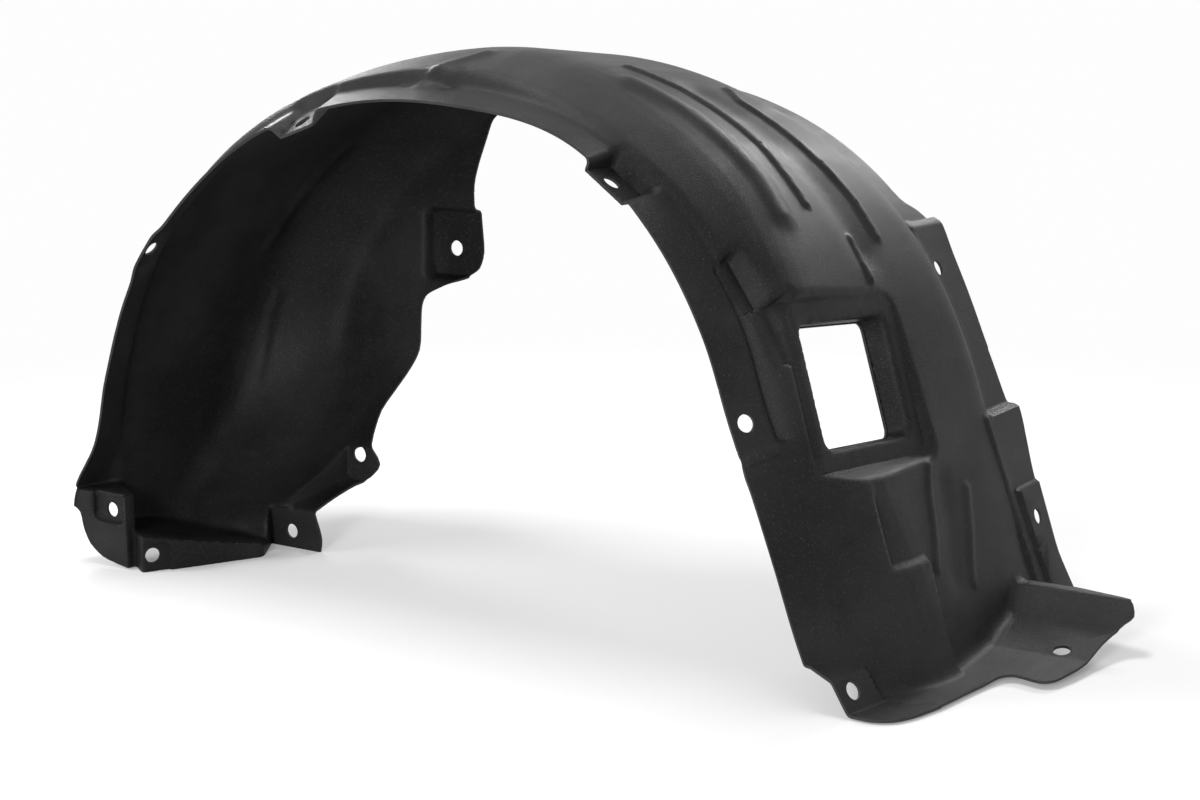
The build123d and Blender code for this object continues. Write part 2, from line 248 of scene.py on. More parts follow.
# %% Distance to the barrel
def barrel(x, y, z):
    """Distance to the lofted skin: positive on the side away from the wheel."""
    theta = np.degrees(np.arctan2(z, x))
    theta = np.where(theta < -100, theta + 360, theta)
    r = np.hypot(x, z) - relief(theta, y)
    f = np.clip((theta - angles[0]) / ANGLE_STEP, 0, len(angles) - 1.001)
    i = f.astype(int)
    w = f - i
    best = np.full(r.shape, 1e18)
    side = np.ones(r.shape)
    perp2 = np.zeros(r.shape)
    for k in range(PROFILES.shape[1] - 1):
        p = PROFILES[:, k, :], PROFILES[:, k + 1, :]
        ar = p[0][i, 0] * (1 - w) + p[0][i + 1, 0] * w
        ay = p[0][i, 1] * (1 - w) + p[0][i + 1, 1] * w
        br = p[1][i, 0] * (1 - w) + p[1][i + 1, 0] * w - ar
        by = p[1][i, 1] * (1 - w) + p[1][i + 1, 1] * w - ay
        pr, py = r - ar, y - ay
        l2 = br * br + by * by
        t = np.clip((pr * br + py * by) / l2, 0, 1)
        d2 = (pr - t * br) ** 2 + (py - t * by) ** 2
        cross = pr * by - py * br
        c2 = cross * cross / l2
        take = (d2 < best - 1e-4) | ((d2 < best + 1e-4) & (c2 > perp2))
        best = np.where(take, d2, best)
        perp2 = np.where(take, c2, perp2)
        side = np.where(take, np.sign(cross), side)
    return np.sqrt(best) * side


print("distance 10 mm above the crown:", round(float(barrel(np.array([0.0]), np.array([150.0]),
                                                             np.array([402.0]))[0]), 1))

# %% [markdown]
# ## Pads, ledges and the window
#
# The clips need flat seats, so the form has a block or a hollow with sloping walls at each one.
# The left leg ends in a ledge with an upright strip under it. The right leg flares out, and at
# its foot the sheet turns into a shelf. The window is a flat frame, sunk in the leg at its foot
# and proud of the barrel above, with a deep pocket in it.
#
# Each function below takes the distance so far and gives it back with its own shapes added. The
# last number of each soft union or cut is its fillet. A factor such as 0.94 turns the run past a
# leaning face into the distance from it.

# %% Helpers for the local shapes
DRAFT = math.tan(math.radians(14.0))


def ease(t):
    t = np.clip(t, 0, 1)
    return t * t * (3 - 2 * t)


def follow(value, table):
    """Second number of each pair, read off at the first."""
    return np.interp(value, *np.transpose(table))


def past(x, z, point, way):
    """Distance past the line through a point, square to it, with way as its direction."""
    return (x - point[0]) * way[0] + (z - point[1]) * way[1]


def round_arch(angle, x, z):
    """Distance out along the radius at an angle, and distance round the arch from it."""
    a = math.radians(angle)
    return x * math.cos(a) + z * math.sin(a), -x * math.sin(a) + z * math.cos(a)


print("draft of the pad walls:", round(DRAFT, 3))

# %% Lower leg on the plus X side: its recess, the shelf and the foot pad
LEG_X = 330.0  # the leg lies beyond this x
# the recess starts at a line given as (z, y), and above its step at a line nearer the rim
RECESS_LINE = ((-115, 134), (-70, 139), (-24, 145), (-20, 145))
RECESS_STEP_Z, RECESS_UPPER_Y, RECESS_IN = -17.0, 97.0, 5.5
# top of the shelf as (y, z), raised in a crest at its back edge
SHELF_TOP = ((-40, -108), (120, -107), (205, -102), (258, -88), (284, -68), (296, -68),
             (314, -104), (330, -160))
# face of the foot pad at the near rim as (z, x); it runs outwards with y
FOOT_FACE = ((-112, 433), (-84, 416), (-76, 399), (-66, 396), (-50, 390))
FOOT_RUN, FOOT_TOP_Z, FOOT_END_Y = 0.21, -75.5, 44.0
FOOT_CUT_TOP_Z, FOOT_CUT_END_Y = -80.0, 43.0
SHELF_IN_X, FOOT_IN_X = 396, 385  # the shelf and the foot reach this far in, under the leg


def leg_recess(x, y, z):
    """How far the far part of the lower leg is set back."""
    behind = np.maximum(np.minimum(y - RECESS_UPPER_Y, z - RECESS_STEP_Z),
                        y - follow(z, RECESS_LINE))
    fade = ease((behind + 3.5) / 7)
    return np.where(x > LEG_X, RECESS_IN * fade * ease((62 - z) / 35) * ease((300 - y) / 90), 0)


def add_shelf(d, x, y, z):
    top = follow(y, SHELF_TOP)
    d = soft_min(d, np.maximum((z - top) * 0.97, SHELF_IN_X - x), 10.0)
    # the foot pad's face lies in the leg, so the leg is first cut back to it
    face = (x - follow(z, FOOT_FACE) - FOOT_RUN * y) * 0.9
    rise = np.maximum(face, 0) * 0.4
    room = np.maximum.reduce([y - FOOT_CUT_END_Y - rise, z - FOOT_CUT_TOP_Z, -face, top - z])
    d = np.where(x > LEG_X, soft_max(d, -room, 3.0), d)
    foot = np.maximum.reduce([face, z - FOOT_TOP_Z, FOOT_IN_X - x, y - FOOT_END_Y])
    return soft_min(d, foot, 3.0)


print("recess", RECESS_IN, "mm deep, shelf top of", len(SHELF_TOP), "points")

# %% Far flange on the plus X side
FLARE, FLANGE_STEP_Z = 0.371, 66.0
FLANGE_X, SEAT_X = 402.0, 405.4  # the flange's face and the hole's seat, at the step's height
FLANGE_IN_X = 392  # both reach this far in
FLANGE_Y, TAB_Y = 322, 323  # both start at these y and run on to the edge of the sheet
SEAT_TOP_Z, SEAT_Y, SEAT_LEAN = 1, 337, 0.06
TAB_PEAK, TAB_CORNER = (318, 234), (325, 230)
TAB_FACE, TAB_BACK, TAB_UP = (0.925, 0.381), (-0.936, 0.351), (0.496, 0.868)
TAB_FOOT_Z = 120


def add_far_flange(d, x, y, z):
    lean = FLARE * (z - FLANGE_STEP_Z)
    flange = np.maximum.reduce([z - FLANGE_STEP_Z, (x - FLANGE_X + lean) * 0.94,
                                FLANGE_IN_X - x, FLANGE_Y - y])
    d = soft_min(d, flange, 5.0)
    seat = np.maximum.reduce([z - SEAT_TOP_Z, (x - SEAT_X + lean) * 0.94, FLANGE_IN_X - x,
                              SEAT_Y - SEAT_LEAN * z - y])
    d = soft_min(d, seat, 3.0)
    tab = np.maximum.reduce([past(x, z, TAB_CORNER, TAB_FACE), past(x, z, TAB_PEAK, TAB_BACK),
                             past(x, z, TAB_PEAK, TAB_UP), TAB_FOOT_Z - z, TAB_Y - y])
    return soft_min(d, tab, 5.0)


print("flange steps out at z", FLANGE_STEP_Z)

# %% Foot of the minus X leg: ledge, upright strip and near flange
STRIP_AT, STRIP_TO = np.array([-316.0, 0.0]), np.array([-238.0, 158.0])
along = (STRIP_TO - STRIP_AT) / np.linalg.norm(STRIP_TO - STRIP_AT)
LEDGE_Z, LEDGE_FALL = -74.0, 0.19
BOSS_X, BOSS_Z = -338.0, -37.0
BOSS_Y, BOSS_CORNER_Y, BOSS_LEAN = 0.8, 12, 0.655
# raised seats of two clip holes: middle (along the strip or x, and z), half-width and half-height
STRIP_SEAT, BOSS_SEAT = (13, -100, 14, 17), (-363, -51, 21, 15)
STRIP_SEAT_UP, BOSS_SEAT_UP = 4, 6.0


def add_left_foot(d, x, y, z):
    run = (x - STRIP_AT[0]) * along[0] + (y - STRIP_AT[1]) * along[1]
    away = -(x - STRIP_AT[0]) * along[1] + (y - STRIP_AT[1]) * along[0]
    ledge = (LEDGE_Z - LEDGE_FALL * run - z) * 0.98
    d = soft_max(d, np.minimum.reduce([ledge, away, run]), 6.0)
    seat = rounded_rect(run - STRIP_SEAT[0], z - STRIP_SEAT[1], *STRIP_SEAT[2:], 4.0)
    d = soft_min(d, np.maximum.reduce([seat, away - STRIP_SEAT_UP, -12 - away]), 3.0)
    # flat near flange beside the strip
    boss = np.minimum.reduce([BOSS_Z - z, y - BOSS_Y, BOSS_X - x,
                              (BOSS_CORNER_Y + (BOSS_X - x) * BOSS_LEAN - y) * 0.83])
    d = soft_max(d, boss, 4.0)
    seat = rounded_rect(x - BOSS_SEAT[0], z - BOSS_SEAT[1], *BOSS_SEAT[2:], 8.0)
    return soft_min(d, np.maximum.reduce([seat, y - BOSS_SEAT_UP, -15 - y]), 3.0)


print("strip", round(float(np.linalg.norm(STRIP_TO - STRIP_AT))), "mm long")

# %% Clip seats on the side wall and in the near strip
# middle (x, y of the seat, z), width and height of each seat on the side wall
SIDE_PADS = (((-176, 327, 186), (70, 66)), ((-222, 225, -26), (56, 50)),
             ((-256, 152, -98), (70, 56)))
PAD_REACH = 95  # how deep the block behind a seat goes
STRIP_END_LEAN = 0.667
# angle, radius of the floor, its lean towards the rim, half its depth and half its length of arc
RIM_SEATS = ((53.5, 352, 0, 28, 22), (108.5, 334, 0.55, 30, 20))


def add_side_pads(d, x, y, z):
    for (cx, cy, cz), (w, h) in SIDE_PADS:
        grow = np.maximum(cy - y, 0) * DRAFT
        block = np.maximum(rounded_rect(x - cx, z - cz, w / 2 + grow, h / 2 + grow, 9.0), y - cy)
        if cz < LEDGE_Z:  # the lowest one starts where the strip ends
            block = np.maximum(block, (cx - w / 2 + (cy - y) * STRIP_END_LEAN - x) * 0.83)
        d = soft_min(d, np.maximum(block, cy - PAD_REACH - y), 6.0)
    return d


def cut_rim_seats(d, x, y, z):
    for angle, seat_r, lean, half_y, half_arc in RIM_SEATS:
        out, arc = round_arch(angle, x, z)
        floor_r = seat_r + lean * np.maximum(y, 0)
        grow = np.maximum(out - floor_r, 0) * (DRAFT if not lean else 0.8)
        hollow = rounded_rect(y - 8, arc, half_y + grow, half_arc + grow, 8.0)
        d = soft_max(d, -np.maximum(hollow, floor_r - out), 4.0)
    return d


print(len(SIDE_PADS), "side pads and", len(RIM_SEATS), "seats in the near strip")

# %% Window, and the notch beside it
WINDOW_A, WINDOW_Y = 18.8, 141.0
WINDOW_TURN, WINDOW_TILT = math.radians(4.9), math.radians(6.6)
FRAME_R, FRAME_W, FRAME_H, FRAME_RUN, FRAME_SLOPE = 381.7, 151.0, 139.0, 37.0, 0.75
FRAME_CORNER = 14.0
POCKET_W, POCKET_H, POCKET_R, LIP = 124.0, 106.0, 368.2, 1.0
# groove along the frame's near side: its place across, half-width and depth
GROOVE_U, GROOVE_W, GROOVE_DEEP = -77, 3.6, 2.6
# angle, radius of the floor, y of the middle, half its depth and half its length of arc
NOTCHES = ((27.0, 368, 58, 16, 24), (34.3, 364, 50, 7, 25))


def window_axes(x, y, z):
    """Place in the window's own axes: across, up the arch, and out from its tilted flat."""
    out, arc = round_arch(WINDOW_A, x, z)
    across = (y - WINDOW_Y) * math.cos(WINDOW_TURN) - arc * math.sin(WINDOW_TURN)
    up = (y - WINDOW_Y) * math.sin(WINDOW_TURN) + arc * math.cos(WINDOW_TURN)
    lift = (out - FRAME_R) * math.cos(WINDOW_TILT) - across * math.sin(WINDOW_TILT)
    return across, up, lift


def cut_notches(d, x, y, z):
    for angle, floor_r, mid_y, half_y, half_arc in NOTCHES:
        out, arc = round_arch(angle, x, z)
        grow = np.maximum(out - floor_r, 0) * 0.45
        notch = rounded_rect(y - mid_y, arc, half_y + grow, half_arc + grow, 7.0)
        d = soft_max(d, -np.maximum(notch, floor_r - out), 3.0)
    return d


def add_window(d, x, y, z):
    u, v, lift = window_axes(x, y, z)
    at_leg = (lift > -60) & (lift < 60) & (y > 10)
    groove = GROOVE_DEEP * np.exp(-((u - GROOVE_U) / GROOVE_W) ** 2)
    lift = lift + groove * ease((v + 66) / 12) * ease((52 - v) / 12)
    lean = np.abs(lift) * FRAME_SLOPE
    half_run = (FRAME_W + FRAME_RUN) / 2
    wide = rounded_rect(u + FRAME_RUN / 2, v, half_run + lean, FRAME_H / 2 + lean, FRAME_CORNER)
    sunk = np.maximum(wide * 0.8, -lift)
    plate = rounded_rect(u, v, FRAME_W / 2 + lean, FRAME_H / 2 + lean, FRAME_CORNER)
    proud = np.maximum(plate * 0.8, lift)
    out = round_arch(WINDOW_A, x, z)[0]
    pocket = np.maximum(rounded_rect(u, v, POCKET_W / 2, POCKET_H / 2, 12.0), POCKET_R - out)
    d = np.where(at_leg, soft_max(d, -sunk, 3.2), d)
    d = np.where(at_leg, soft_min(d, np.maximum(proud, 340 - out), 3.0), d)
    return np.where(at_leg, soft_max(d, -pocket, 4.2), d)


print("window frame", FRAME_W, "x", FRAME_H, "mm, pocket", POCKET_W, "x", POCKET_H, "mm")

# %% Distance to the whole form
LOCAL_SHAPES = (add_shelf, add_far_flange, add_left_foot, add_side_pads, cut_rim_seats,
                cut_notches, add_window)


def form(p):
    x, y, z = p[:, 0], p[:, 1], p[:, 2]
    d = barrel(x, y, z) + leg_recess(x, y, z)
    for shape in LOCAL_SHAPES:
        d = shape(d, x, y, z)
    return d


def slope(p, e=0.25):
    """Direction in which the distance grows, at each point."""
    out = np.empty_like(p)
    for k in range(3):
        ahead, behind = p.copy(), p.copy()
        ahead[:, k] += e
        behind[:, k] -= e
        out[:, k] = (form(ahead) - form(behind)) / (2 * e)
    return out


print("form at the axis:", round(float(form(np.array([[0.0, 150.0, 100.0]]))[0]), 1))

# %% [markdown]
# ## The skin over the form
#
# Space is cut into small cubes. Each cube that the form's surface passes through gets one point,
# moved exactly onto the surface, and cubes that share a crossed edge join their points with a
# face. Only cubes near the surface are worked out, so fine cubes stay cheap.

# %% Cubes near the surface
CUBE = 2.5
COARSE = 5
low = np.array([-432.0, -6.0, -116.0])
high = np.array([578.0, 408.0, 402.0])
count = np.ceil((high - low) / (CUBE * COARSE)).astype(int)


def lattice(n, step, origin):
    g = np.stack(np.meshgrid(*[np.arange(k) for k in n], indexing="ij"), -1).reshape(-1, 3)
    return g * step + origin


big = CUBE * COARSE
centres = lattice(count, big, low + big / 2)
# a coarse cube is kept if the form is nearer than this many of its sides; more of them where the
# pads and the strip meet, because the distance grows fastest there
REACH, STEEP_REACH = 1.25, 1.9
steep = (centres[:, 0] < -200) & (centres[:, 2] < 10)
close = (np.abs(form(centres)) < big * np.where(steep, STEEP_REACH, REACH)).reshape(count)
print("coarse cubes:", close.size, "kept:", int(close.sum()))

# %% Distance at the corners of the kept cubes
fine = count * COARSE
cells = close.repeat(COARSE, 0).repeat(COARSE, 1).repeat(COARSE, 2)
corners = np.zeros(fine + 1, bool)
for dx in (0, 1):
    for dy in (0, 1):
        for dz in (0, 1):
            corners[dx:dx + fine[0], dy:dy + fine[1], dz:dz + fine[2]] |= cells
at = np.argwhere(corners)
field = np.full(fine + 1, np.nan, np.float32)
values = np.concatenate([form(part * CUBE + low) for part in np.array_split(at, 24)])
field[corners] = values
print("corners worked out:", len(at))


# %% One point for each crossed cube
def corner_block(a, dx, dy, dz):
    return a[dx:dx + fine[0], dy:dy + fine[1], dz:dz + fine[2]]


inside = field < 0
hits = sum(corner_block(inside, *c).astype(np.int8) for c in np.ndindex(2, 2, 2))
crossed = np.argwhere(cells & (hits > 0) & (hits < 8))
f8 = {c: field[tuple((crossed + c).T)] for c in np.ndindex(2, 2, 2)}
# a cube with a corner far from the form is only crossed by a jump in the distance
TOO_FAR = 4.2 * CUBE
real = np.max(np.abs(np.stack(list(f8.values()))), 0) < TOO_FAR
crossed, f8 = crossed[real], {c: v[real] for c, v in f8.items()}
total, number = np.zeros((len(crossed), 3)), np.zeros(len(crossed))
for c0 in f8:
    for axis in range(3):
        if c0[axis] == 0:
            c1 = tuple(1 if k == axis else c0[k] for k in range(3))
            a, b = f8[c0], f8[c1]
            cut = (a < 0) != (b < 0)
            t = np.where(cut, a / np.where(cut, a - b, 1), 0)
            spot = np.tile(np.array(c0, float), (len(a), 1))
            spot[:, axis] += t
            total += spot * cut[:, None]
            number += cut
points = (crossed + total / number[:, None]) * CUBE + low
index = np.full(fine, -1, np.int32)
index[crossed[:, 0], crossed[:, 1], crossed[:, 2]] = np.arange(len(crossed))
print("points on the skin:", len(points))

# %% Faces between neighbours
quads = []
for axis in range(3):
    u, v = (axis + 1) % 3, (axis + 2) % 3
    size = [fine[k] + 1 for k in range(3)]
    a = [slice(1, fine[k]) for k in range(3)]
    b = list(a)
    a[axis], b[axis] = slice(0, fine[axis]), slice(1, fine[axis] + 1)
    s0, s1 = inside[tuple(a)], inside[tuple(b)]
    edge = np.argwhere(s0 != s1)
    outward = s0[tuple(edge.T)]
    base = edge.copy()
    for k in (u, v):
        base[:, k] += 1
    ring = []
    for du, dv in ((0, 0), (1, 0), (1, 1), (0, 1)):
        c = base.copy()
        c[:, u] -= du
        c[:, v] -= dv
        ring.append(index[tuple(c.T)])
    ring = np.stack(ring, 1)
    ring[~outward] = ring[~outward][:, ::-1]
    quads.append(ring[(ring >= 0).all(1)])
quads = np.concatenate(quads)
print("faces:", len(quads))

# %% Move the points exactly onto the form
for _ in range(3):
    g = slope(points)
    step = form(points)[:, None] * g / np.maximum((g * g).sum(1), 0.2)[:, None]
    size = np.linalg.norm(step, axis=1, keepdims=True)
    points -= step * np.minimum(1, 0.5 * CUBE / np.maximum(size, 1e-9))
print("furthest from the form now:", round(float(np.percentile(np.abs(form(points)), 99)), 3), "mm")

# %% [markdown]
# ## Trimming
#
# The pressed sheet is trimmed to its outline and pierced. Each cut here is a function that is
# positive where the sheet stays. Triangles that the cut's zero line crosses are split along it,
# so an outline runs smoothly through the mesh.

# %% Cutting along a line
def soften(outline, reach=9.0):
    """An outline with each corner cut to a short curve."""
    pts = np.array(outline, float)
    out = []
    for a, p, b in zip(np.roll(pts, 1, 0), pts, np.roll(pts, -1, 0)):
        la, lb = np.linalg.norm(a - p), np.linalg.norm(b - p)
        ca, cb = p + (a - p) / la * min(reach, la / 3), p + (b - p) / lb * min(reach, lb / 3)
        out += [ca, (ca + 2 * p + cb) / 4, cb]
    return np.array(out)


def off_outline(u, v, outline):
    """Distance from a closed outline, negative inside it."""
    best, inside = np.full(np.shape(u), 1e18), np.zeros(np.shape(u), bool)
    for (a, b), (c, d) in zip(outline, np.roll(outline, -1, 0)):
        eu, ev, pu, pv = c - a, d - b, u - a, v - b
        t = np.clip((pu * eu + pv * ev) / max(eu * eu + ev * ev, 1e-12), 0, 1)
        best = np.minimum(best, (pu - t * eu) ** 2 + (pv - t * ev) ** 2)
        crosses = (b > v) != (d > v)
        at_u = a + (v - b) * (c - a) / (d - b if d != b else 1e-12)
        inside ^= crosses & (u < at_u)
    return np.sqrt(best) * np.where(inside, -1, 1)


def trim(pts, tris, keep):
    """Keep the mesh where keep(points) is positive."""
    g = keep(pts)
    g = np.where(np.abs(g) < 0.02, 0.02, g)
    plus = g > 0
    n = plus[tris].sum(1)
    whole, parts = tris[n == 3], tris[(n == 1) | (n == 2)]
    if not len(parts):
        return pts, whole
    # turn each split triangle so that its odd corner comes first
    odd = np.where(plus[parts].sum(1)[:, None] == 1, plus[parts], ~plus[parts])
    first = odd.argmax(1)
    a, b, c = (parts[np.arange(len(parts)), (first + k) % 3] for k in range(3))
    pairs = np.sort(np.concatenate([np.stack([a, b], 1), np.stack([a, c], 1)]), 1)
    edges, where = np.unique(pairs, axis=0, return_inverse=True)
    where = where.reshape(-1)
    p, q = pts[edges[:, 0]], pts[edges[:, 1]]
    gp, gq = g[edges[:, 0]], g[edges[:, 1]]
    t = gp / (gp - gq)
    for _ in range(2):
        mid = p + (q - p) * t[:, None]
        gm = keep(mid)
        lo = np.sign(gm) == np.sign(gp)
        t = np.where(lo, t + (1 - t) * gm / np.where(lo, gm - gq, 1),
                     t * gp / np.where(lo, 1, gp - gm))
    new = p + (q - p) * np.clip(t, 0.01, 0.99)[:, None]
    ab, ac = where[:len(a)] + len(pts), where[len(a):] + len(pts)
    one = plus[a]
    tip = np.stack([a, ab, ac], 1)[one]
    base = np.concatenate([np.stack([ab, b, c], 1)[~one], np.stack([ab, c, ac], 1)[~one]])
    tris = np.concatenate([whole, tip, base])
    pts = np.concatenate([pts, new])
    used = np.unique(tris)
    back = np.full(len(pts), -1)
    back[used] = np.arange(len(used))
    return pts[used], back[tris]


# %% Outline of the liner
SIDE_WALL = soften([(-40, 352), (-86, 338), (-126, 315), (-146, 270), (-153, 248), (-153, 222),
                    (-149, 178), (-155, 161), (-168, 153), (-193, 142), (-212, 133), (-217, 122),
                    (-214, 75), (-229, 39), (-236, 17), (-228, -4), (-206, -32), (-222, -48),
                    (-234, -53), (-236, -61), (-234, -70), (-224, -97), (-228, -114), (-222, -200),
                    (60, -200), (60, 352)])
FAR_FLANGE = soften([(395, -120), (378, -60), (384, 10), (398, 60), (389, 120), (388, 228),
                     (378, 240), (358, 250), (352, 330), (350, 420), (520, 420), (520, -180),
                     (395, -180)])
SHELF = soften([(430, -12), (440, -2), (455, 2), (466, 10), (474, 26), (482, 57), (488, 100),
                (495, 144), (504, 152), (528, 146), (537, 154), (544, 188), (547, 238), (552, 262),
                (562, 272), (554, 286), (500, 296), (469, 298), (469, 420), (640, 420), (640, -30),
                (430, -30)])
NEAR_CORNER = soften([(-460, -54), (-412, -54), (-401, -60), (-398, -76), (-390, -91), (-373, -102),
                      (-353, -106), (-318, -111), (-318, -140), (-460, -140)])


NEAR_RIM_Y, FLOOR_Z = 0.0, -110.0


def where_only(region, distance):
    """A cut that acts in one region and leaves the rest of the sheet alone."""
    return np.where(region, distance, 50.0)


CUTS = [
    lambda p: p[:, 1] - NEAR_RIM_Y,
    lambda p: p[:, 2] - FLOOR_Z,
    lambda p: where_only(p[:, 1] < 60, off_outline(p[:, 0], p[:, 2], NEAR_CORNER)),
    lambda p: where_only(p[:, 1] > 100, off_outline(p[:, 0], p[:, 2], SIDE_WALL)),
    lambda p: where_only(p[:, 0] > -30, off_outline(p[:, 1], p[:, 2], FAR_FLANGE)),
    lambda p: where_only(p[:, 2] < -30, off_outline(p[:, 0], p[:, 1], SHELF)),
]


def window_cut(p):
    u, v, _ = window_axes(p[:, 0], p[:, 1], p[:, 2])
    out = round_arch(WINDOW_A, p[:, 0], p[:, 2])[0]
    inset = WALL + LIP
    d = rounded_rect(u, v, POCKET_W / 2 - inset, POCKET_H / 2 - inset, 8.0)
    return where_only((out > 330) & (out < 374), d)


CUTS.append(window_cut)

# %% Clip holes
HOLE_D, WIDE_D = 14.5, 16.0
HOLE_REACH = 18  # how far a hole's cut goes, each way from its middle


def rim_hole(angle, y, radius):
    a = math.radians(angle)
    way = (math.cos(a), 0, math.sin(a))
    return (radius * way[0], y, radius * way[2]), way, HOLE_D


# middle of each hole, the way it faces, and its diameter
HOLES = [rim_hole(146, 12, 352), rim_hole(108.8, 14, 346), rim_hole(54, 14, 354),
         rim_hole(17.8, 14, 347), rim_hole(29.5, 346, 397),
         ((434, 358, -27), (1, 0, FLARE), HOLE_D), ((424, 17, -94), (0.87, 0, 0.5), HOLE_D),
         ((520, 215, -100), (0, 0, 1), HOLE_D), ((-362, 0, -54), (0, 1, 0), HOLE_D),
         ((-311, 9, -94), (-along[1], along[0], 0), HOLE_D), ((-263, 152, -93), (0, 1, 0), HOLE_D),
         ((-234, 225, -24), (0, 1, 0), WIDE_D), ((-184, 326, 181), (0, 1, 0), WIDE_D)]


def hole_cut(middle, way, diameter):
    way = np.array(way, float) / np.linalg.norm(way)

    def keep(p):
        off = p - np.array(middle, float)
        deep = off @ way
        ring = np.linalg.norm(off - deep[:, None] * way, axis=1) - diameter / 2
        return where_only(np.abs(deep) < HOLE_REACH, ring)
    return keep


skin, faces = points, np.concatenate([quads[:, [0, 1, 2]], quads[:, [0, 2, 3]]])
for cut in CUTS + [hole_cut(*h) for h in HOLES]:
    skin, faces = trim(skin, faces, cut)
print("after trimming:", len(skin), "points,", len(faces), "triangles,", len(HOLES), "holes")


# %% Keep the one connected sheet
def largest_piece(pts, tris):
    """Triangles of the biggest connected piece: each point takes its neighbours' lowest label."""
    label = np.arange(len(pts))
    while True:
        small = label[tris].min(1)
        new = label.copy()
        for k in range(3):
            np.minimum.at(new, tris[:, k], small)
        new = new[new]
        if (new == label).all():
            break
        label = new
    names, counts = np.unique(label[tris[:, 0]], return_counts=True)
    keep = label[tris[:, 0]] == names[counts.argmax()]
    print("loose pieces dropped:", len(names) - 1)
    return tris[keep]


faces = largest_piece(skin, faces)

# %% [markdown]
# ## The sheet
#
# The skin is the side towards the wheel. Decimate thins the mesh where it is nearly flat. The
# second face lies one wall further out along the form's own slope, which stays exact up to the
# trimmed edge, and a band of faces along the edge closes the sheet.

# %% Mesh, thinned
WELD = 0.00035  # metres; points nearer than this become one
TARGET = 92000  # triangles of the skin after thinning


def mesh_object(name, pts, tris):
    mesh = bpy.data.meshes.new(name)
    mesh.from_pydata(to_frame(pts).tolist(), [], tris.tolist())
    mesh.validate()
    work = bmesh.new()
    work.from_mesh(mesh)
    bmesh.ops.remove_doubles(work, verts=work.verts, dist=WELD)
    loose = [v for v in work.verts if not v.link_faces]
    bmesh.ops.delete(work, geom=loose, context="VERTS")
    bmesh.ops.triangulate(work, faces=work.faces)
    work.to_mesh(mesh)
    work.free()
    obj = bpy.data.objects.new(name, mesh)
    bpy.context.scene.collection.objects.link(obj)
    return obj


liner = mesh_object("liner_sheet", skin, faces)
edge_group = liner.vertex_groups.new(name="edges")
work = bmesh.new()
work.from_mesh(liner.data)
border = [v.index for v in work.verts if v.is_boundary]
work.free()
edge_group.add(border, 1.0, "REPLACE")
thin = liner.modifiers.new("thin", "DECIMATE")
thin.ratio = min(1.0, TARGET / len(liner.data.polygons))
thin.vertex_group = "edges"
thin.invert_vertex_group = True
thin.vertex_group_factor = 1.0
depsgraph = bpy.context.evaluated_depsgraph_get()
thinned = bpy.data.meshes.new_from_object(liner.evaluated_get(depsgraph))
print("thinned to", len(thinned.polygons), "triangles")

# %% Second face and the band along the edge
flat_co = np.empty(len(thinned.vertices) * 3)
thinned.vertices.foreach_get("co", flat_co)
near = flat_co.reshape(-1, 3) * 1000.0 - WHEEL_AXIS
tri = np.array([tuple(p.vertices) for p in thinned.polygons])
way = slope(near)
far = near + WALL * way / np.maximum(np.linalg.norm(way, axis=1, keepdims=True), 1e-6)
directed = np.concatenate([tri[:, [0, 1]], tri[:, [1, 2]], tri[:, [2, 0]]])
_, back_at, uses = np.unique(np.sort(directed, 1), axis=0, return_inverse=True, return_counts=True)
rim = directed[uses[back_at.reshape(-1)] == 1]
n = len(near)
sheet = bpy.data.meshes.new("liner_sheet")
sheet.from_pydata(to_frame(np.concatenate([near, far])).tolist(), [],
                  (tri + n).tolist() + tri[:, ::-1].tolist()
                  + np.stack([rim[:, 1] + n, rim[:, 0] + n, rim[:, 0], rim[:, 1]], 1).tolist())
for _ in range(2):
    sheet.materials.append(None)
sheet.polygons.foreach_set("material_index", [0] * (2 * len(tri)) + [1] * len(rim))
liner.modifiers.clear()
liner.data = sheet
sheet.shade_smooth()
sheet.set_sharp_from_angle(angle=math.radians(38))
print("finished sheet:", len(sheet.polygons), "faces,", len(rim), "along the edge")

# %% [markdown]
# ## The plastic
#
# The liner is black polypropylene. Its colour is nearly even, but the surface isn't: the mould
# leaves a pebbled grain of about a millimetre, and handling leaves patches that are a little
# duller or shinier. Both are worked out from the place on the object, so the same grain runs over
# every fold. Small lighter specks over the grain are painted glints. The trimmed edge is a second
# material: it is cut, so it has no grain, and its lighter colour is a painted highlight.

# %% Grain and haze as node groups
def group(name, inputs, outputs):
    tree = bpy.data.node_groups.new(name, "ShaderNodeTree")
    for label, kind, value in inputs:
        socket = tree.interface.new_socket(label, in_out="INPUT", socket_type=kind)
        if value is not None:
            socket.default_value = value
    for label, kind in outputs:
        tree.interface.new_socket(label, in_out="OUTPUT", socket_type=kind)
    return tree, tree.nodes.new("NodeGroupInput"), tree.nodes.new("NodeGroupOutput")


def noise(tree, vector, scale, detail, rough=0.5):
    node = tree.nodes.new("ShaderNodeTexNoise")
    node.inputs["Scale"].default_value = scale
    node.inputs["Detail"].default_value = detail
    node.inputs["Roughness"].default_value = rough
    tree.links.new(vector, node.inputs["Vector"])
    return node.outputs["Fac"]


def ramp(tree, value, low, high):
    node = tree.nodes.new("ShaderNodeMapRange")
    node.interpolation_type = "SMOOTHSTEP"
    node.inputs["From Min"].default_value = low
    node.inputs["From Max"].default_value = high
    tree.links.new(value, node.inputs["Value"])
    return node.outputs["Result"]
